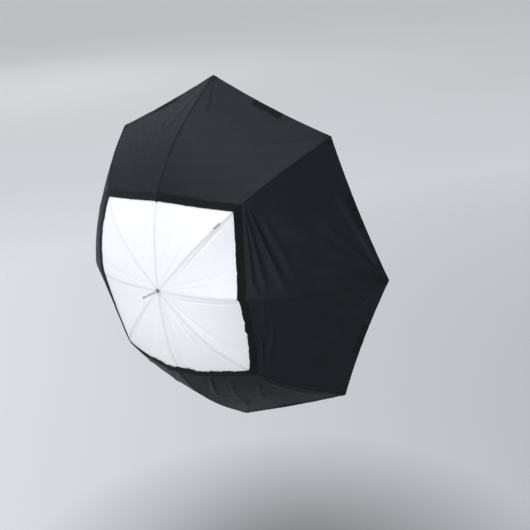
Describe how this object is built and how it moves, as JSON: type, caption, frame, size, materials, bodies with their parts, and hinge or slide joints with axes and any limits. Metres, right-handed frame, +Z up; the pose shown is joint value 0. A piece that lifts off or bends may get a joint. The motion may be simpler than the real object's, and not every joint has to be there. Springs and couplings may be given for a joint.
{
  "type": "umbrella reflector",
  "caption": "Convertible studio umbrella: white diffusing canopy on hinged ribs, under a black cover with a square window, on a straight shaft for a light stand's bracket.",
  "frame": {"origin": "on the shaft's axis, in the bare stretch behind the runner's stop ring, where a bracket grips; 575 mm behind the crown's hinges", "axes": "+Y along the shaft from the tip to the bare end, +Z up through rib 0, +X to the right as seen from the tip side"},
  "size_m": [1.0024, 0.711, 1.0024],
  "materials": {
    "shaft_steel": "polished plating",
    "ferrule_steel": "satin plated steel",
    "brass": "dull plated brass",
    "black_plastic": "moulded, satin",
    "rib_steel": "black lacquered steel",
    "white_cloth": "thin translucent plain weave",
    "black_cloth": "coated plain weave, slight sheen"
  },
  "bodies": {
    "root": {"shaft": "shaft_steel", "shaft_plug": "black_plastic", "runner_stop": "ferrule_steel", "ferrule": "ferrule_steel", "crown_washer": "brass", "crown": "black_plastic", "crown_wire": "ferrule_steel"},
    "catch": {"spring_catch": "ferrule_steel"},
    "runner": {"runner": "black_plastic", "runner_wire": "ferrule_steel"},
    "rib_inner_0": {"rib_inner_0": "rib_steel", "canopy_inner_0": "white_cloth"},
    "rib_outer_0": {"rib_outer_0": "rib_steel", "canopy_outer_0": "white_cloth", "cover_0": "black_cloth"},
    "stretcher_0": {"stretcher_0": "rib_steel"},
    "rib_inner_1": {"rib_inner_1": "rib_steel", "canopy_inner_1": "white_cloth"},
    "rib_outer_1": {"rib_outer_1": "rib_steel", "canopy_outer_1": "white_cloth", "cover_1": "black_cloth"},
    "stretcher_1": {"stretcher_1": "rib_steel"},
    "rib_inner_2": {"rib_inner_2": "rib_steel", "canopy_inner_2": "white_cloth"},
    "rib_outer_2": {"rib_outer_2": "rib_steel", "canopy_outer_2": "white_cloth", "cover_2": "black_cloth"},
    "stretcher_2": {"stretcher_2": "rib_steel"},
    "rib_inner_3": {"rib_inner_3": "rib_steel", "canopy_inner_3": "white_cloth"},
    "rib_outer_3": {"rib_outer_3": "rib_steel", "canopy_outer_3": "white_cloth", "cover_3": "black_cloth"},
    "stretcher_3": {"stretcher_3": "rib_steel"},
    "rib_inner_4": {"rib_inner_4": "rib_steel", "canopy_inner_4": "white_cloth"},
    "rib_outer_4": {"rib_outer_4": "rib_steel", "canopy_outer_4": "white_cloth", "cover_4": "black_cloth"},
    "stretcher_4": {"stretcher_4": "rib_steel"},
    "rib_inner_5": {"rib_inner_5": "rib_steel", "canopy_inner_5": "white_cloth"},
    "rib_outer_5": {"rib_outer_5": "rib_steel", "canopy_outer_5": "white_cloth", "cover_5": "black_cloth"},
    "stretcher_5": {"stretcher_5": "rib_steel"},
    "rib_inner_6": {"rib_inner_6": "rib_steel", "canopy_inner_6": "white_cloth"},
    "rib_outer_6": {"rib_outer_6": "rib_steel", "canopy_outer_6": "white_cloth", "cover_6": "black_cloth"},
    "stretcher_6": {"stretcher_6": "rib_steel"},
    "rib_inner_7": {"rib_inner_7": "rib_steel", "canopy_inner_7": "white_cloth"},
    "rib_outer_7": {"rib_outer_7": "rib_steel", "canopy_outer_7": "white_cloth", "cover_7": "black_cloth"},
    "stretcher_7": {"stretcher_7": "rib_steel"}
  },
  "joints": [
    {"name": "fold", "type": "hinge", "parent": "root", "child": "rib_inner_0", "pos_m": [0, -0.575, 0.0074], "axis": [-1, 0, 0], "range_deg": [0, 73.33], "deforming": ["canopy_inner_0", "canopy_inner_1", "canopy_inner_2", "canopy_inner_3", "canopy_inner_4", "canopy_inner_5", "canopy_inner_6", "canopy_inner_7", "canopy_outer_0", "canopy_outer_1", "canopy_outer_2", "canopy_outer_3", "canopy_outer_4", "canopy_outer_5", "canopy_outer_6", "canopy_outer_7", "cover_0", "cover_1", "cover_2", "cover_3", "cover_4", "cover_5", "cover_6", "cover_7", "spring_catch"]},
    {"name": "rib_hinge_1", "type": "hinge", "parent": "root", "child": "rib_inner_1", "pos_m": [0.00523, -0.575, 0.00523], "axis": [-0.7071, 0, 0.7071], "range_deg": [0, 73.33]},
    {"name": "rib_hinge_2", "type": "hinge", "parent": "root", "child": "rib_inner_2", "pos_m": [0.0074, -0.575, 0], "axis": [0, 0, 1], "range_deg": [0, 73.33]},
    {"name": "rib_hinge_3", "type": "hinge", "parent": "root", "child": "rib_inner_3", "pos_m": [0.00523, -0.575, -0.00523], "axis": [0.7071, 0, 0.7071], "range_deg": [0, 73.33]},
    {"name": "rib_hinge_4", "type": "hinge", "parent": "root", "child": "rib_inner_4", "pos_m": [0, -0.575, -0.0074], "axis": [1, 0, 0], "range_deg": [0, 73.33]},
    {"name": "rib_hinge_5", "type": "hinge", "parent": "root", "child": "rib_inner_5", "pos_m": [-0.00523, -0.575, -0.00523], "axis": [0.7071, 0, -0.7071], "range_deg": [0, 73.33]},
    {"name": "rib_hinge_6", "type": "hinge", "parent": "root", "child": "rib_inner_6", "pos_m": [-0.0074, -0.575, 0], "axis": [0, 0, -1], "range_deg": [0, 73.33]},
    {"name": "rib_hinge_7", "type": "hinge", "parent": "root", "child": "rib_inner_7", "pos_m": [-0.00523, -0.575, 0.00523], "axis": [-0.7071, 0, -0.7071], "range_deg": [0, 73.33]},
    {"name": "rib_flex_0", "type": "hinge", "parent": "rib_inner_0", "child": "rib_outer_0", "pos_m": [0, -0.53715, 0.23446], "axis": [-1, 0, 0], "range_deg": [-26.5, 0]},
    {"name": "stretcher_hinge_0", "type": "hinge", "parent": "rib_inner_0", "child": "stretcher_0", "pos_m": [0, -0.53259, 0.2324], "axis": [-1, 0, 0], "range_deg": [-146.75, 0]},
    {"name": "rib_flex_1", "type": "hinge", "parent": "rib_inner_1", "child": "rib_outer_1", "pos_m": [0.16579, -0.53715, 0.16579], "axis": [-0.7071, 0, 0.7071], "range_deg": [-26.5, 0]},
    {"name": "stretcher_hinge_1", "type": "hinge", "parent": "rib_inner_1", "child": "stretcher_1", "pos_m": [0.16433, -0.53259, 0.16433], "axis": [-0.7071, 0, 0.7071], "range_deg": [-146.75, 0]},
    {"name": "rib_flex_2", "type": "hinge", "parent": "rib_inner_2", "child": "rib_outer_2", "pos_m": [0.23446, -0.53715, 0], "axis": [0, 0, 1], "range_deg": [-26.5, 0]},
    {"name": "stretcher_hinge_2", "type": "hinge", "parent": "rib_inner_2", "child": "stretcher_2", "pos_m": [0.2324, -0.53259, 0], "axis": [0, 0, 1], "range_deg": [-146.75, 0]},
    {"name": "rib_flex_3", "type": "hinge", "parent": "rib_inner_3", "child": "rib_outer_3", "pos_m": [0.16579, -0.53715, -0.16579], "axis": [0.7071, 0, 0.7071], "range_deg": [-26.5, 0]},
    {"name": "stretcher_hinge_3", "type": "hinge", "parent": "rib_inner_3", "child": "stretcher_3", "pos_m": [0.16433, -0.53259, -0.16433], "axis": [0.7071, 0, 0.7071], "range_deg": [-146.75, 0]},
    {"name": "rib_flex_4", "type": "hinge", "parent": "rib_inner_4", "child": "rib_outer_4", "pos_m": [0, -0.53715, -0.23446], "axis": [1, 0, 0], "range_deg": [-26.5, 0]},
    {"name": "stretcher_hinge_4", "type": "hinge", "parent": "rib_inner_4", "child": "stretcher_4", "pos_m": [0, -0.53259, -0.2324], "axis": [1, 0, 0], "range_deg": [-146.75, 0]},
    {"name": "rib_flex_5", "type": "hinge", "parent": "rib_inner_5", "child": "rib_outer_5", "pos_m": [-0.16579, -0.53715, -0.16579], "axis": [0.7071, 0, -0.7071], "range_deg": [-26.5, 0]},
    {"name": "stretcher_hinge_5", "type": "hinge", "parent": "rib_inner_5", "child": "stretcher_5", "pos_m": [-0.16433, -0.53259, -0.16433], "axis": [0.7071, 0, -0.7071], "range_deg": [-146.75, 0]},
    {"name": "rib_flex_6", "type": "hinge", "parent": "rib_inner_6", "child": "rib_outer_6", "pos_m": [-0.23446, -0.53715, 0], "axis": [0, 0, -1], "range_deg": [-26.5, 0]},
    {"name": "stretcher_hinge_6", "type": "hinge", "parent": "rib_inner_6", "child": "stretcher_6", "pos_m": [-0.2324, -0.53259, 0], "axis": [0, 0, -1], "range_deg": [-146.75, 0]},
    {"name": "rib_flex_7", "type": "hinge", "parent": "rib_inner_7", "child": "rib_outer_7", "pos_m": [-0.16579, -0.53715, 0.16579], "axis": [-0.7071, 0, -0.7071], "range_deg": [-26.5, 0]},
    {"name": "stretcher_hinge_7", "type": "hinge", "parent": "rib_inner_7", "child": "stretcher_7", "pos_m": [-0.16433, -0.53259, 0.16433], "axis": [-0.7071, 0, -0.7071], "range_deg": [-146.75, 0]},
    {"name": "runner_hinge", "type": "hinge", "parent": "stretcher_0", "child": "runner", "pos_m": [0, -0.49018, 0.0074], "axis": [-1, 0, 0], "range_deg": [0, 73.43]},
    {"name": "catch_press", "type": "hinge", "parent": "root", "child": "catch", "pos_m": [0, -0.42178, -0.0023], "axis": [-1, 0, 0], "range_deg": [0, 4.5], "stiffness_Nm_per_rad": 1.5, "springref_deg": -1.72}
  ],
  "couplings": [
    {"joint": "rib_hinge_1", "follows": "fold", "ratio": 1},
    {"joint": "rib_hinge_2", "follows": "fold", "ratio": 1},
    {"joint": "rib_hinge_3", "follows": "fold", "ratio": 1},
    {"joint": "rib_hinge_4", "follows": "fold", "ratio": 1},
    {"joint": "rib_hinge_5", "follows": "fold", "ratio": 1},
    {"joint": "rib_hinge_6", "follows": "fold", "ratio": 1},
    {"joint": "rib_hinge_7", "follows": "fold", "ratio": 1},
    {"joint": "rib_flex_0", "follows": "fold", "ratio": -0.36},
    {"joint": "stretcher_hinge_0", "follows": "fold", "ratio": -2},
    {"joint": "rib_flex_1", "follows": "fold", "ratio": -0.36},
    {"joint": "stretcher_hinge_1", "follows": "fold", "ratio": -2},
    {"joint": "rib_flex_2", "follows": "fold", "ratio": -0.36},
    {"joint": "stretcher_hinge_2", "follows": "fold", "ratio": -2},
    {"joint": "rib_flex_3", "follows": "fold", "ratio": -0.36},
    {"joint": "stretcher_hinge_3", "follows": "fold", "ratio": -2},
    {"joint": "rib_flex_4", "follows": "fold", "ratio": -0.36},
    {"joint": "stretcher_hinge_4", "follows": "fold", "ratio": -2},
    {"joint": "rib_flex_5", "follows": "fold", "ratio": -0.36},
    {"joint": "stretcher_hinge_5", "follows": "fold", "ratio": -2},
    {"joint": "rib_flex_6", "follows": "fold", "ratio": -0.36},
    {"joint": "stretcher_hinge_6", "follows": "fold", "ratio": -2},
    {"joint": "rib_flex_7", "follows": "fold", "ratio": -0.36},
    {"joint": "stretcher_hinge_7", "follows": "fold", "ratio": -2},
    {"joint": "runner_hinge", "follows": "fold", "ratio": 1}
  ]
}
